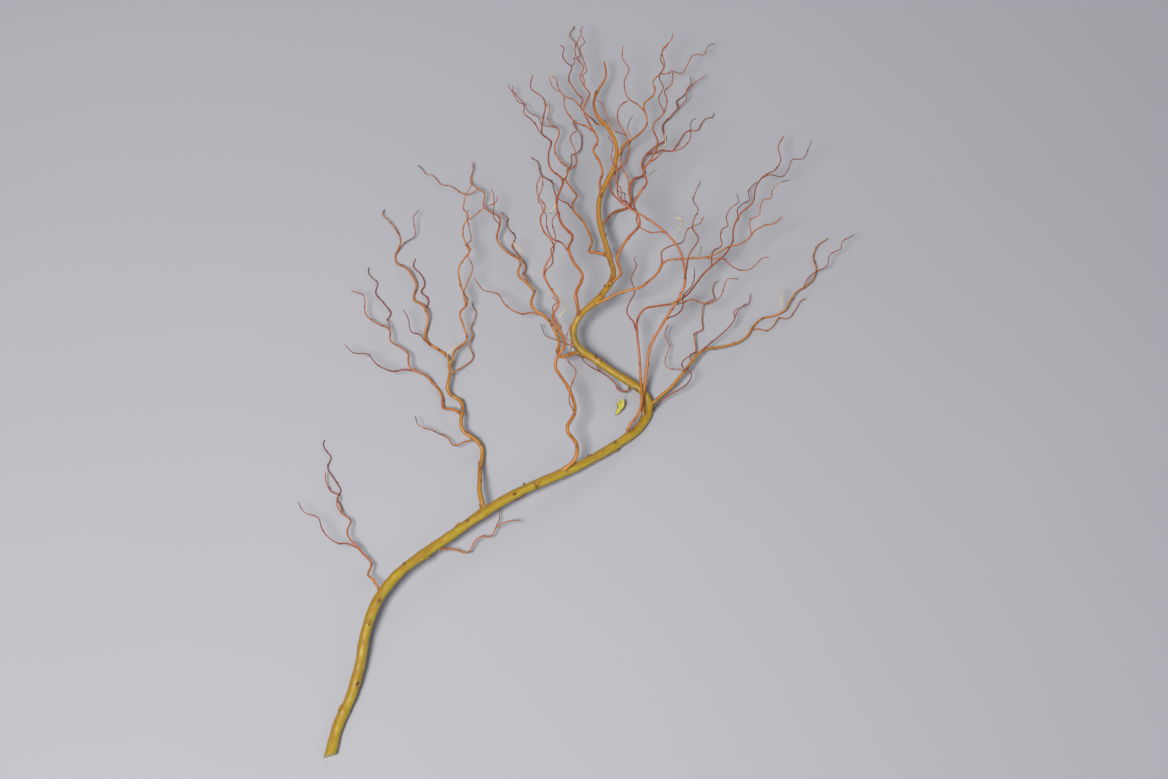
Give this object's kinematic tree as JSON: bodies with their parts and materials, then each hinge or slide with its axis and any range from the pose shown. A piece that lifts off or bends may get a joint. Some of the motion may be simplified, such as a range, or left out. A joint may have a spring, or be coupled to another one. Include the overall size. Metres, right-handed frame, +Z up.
{
  "type": "curly willow branch",
  "caption": "Cut branch of curly willow lying on its side: a winding stem that forks into wavy shoots and fine twigs, with a few green and dried leaves.",
  "frame": {"origin": "centre of the bounding box in plan, on the surface that the branch lies on", "axes": "+Y along the branch from the cut end to the tips, +Z up from the surface, +X to the right as seen from above"},
  "size_m": [0.8123, 1.1738, 0.2205],
  "materials": {
    "bark": "smooth waxy bark, golden olive on the stem, orange to red-brown on the shoots and twigs",
    "yellow_leaf": "matte yellowing leaf with brown spots",
    "green_leaf": "matte green leaf",
    "dried_leaf": "matte straw-coloured dried leaf"
  },
  "bodies": {
    "root": {"branch": "bark", "yellow_leaf": "yellow_leaf", "green_leaf_1": "green_leaf", "green_leaf_2": "green_leaf", "green_leaf_3": "green_leaf", "dried_leaf_1": "dried_leaf", "dried_leaf_2": "dried_leaf", "dried_leaf_3": "dried_leaf", "dried_leaf_4": "dried_leaf", "dried_leaf_5": "dried_leaf", "dried_leaf_6": "dried_leaf", "dried_leaf_7": "dried_leaf", "dried_leaf_8": "dried_leaf"}
  },
  "joints": []
}
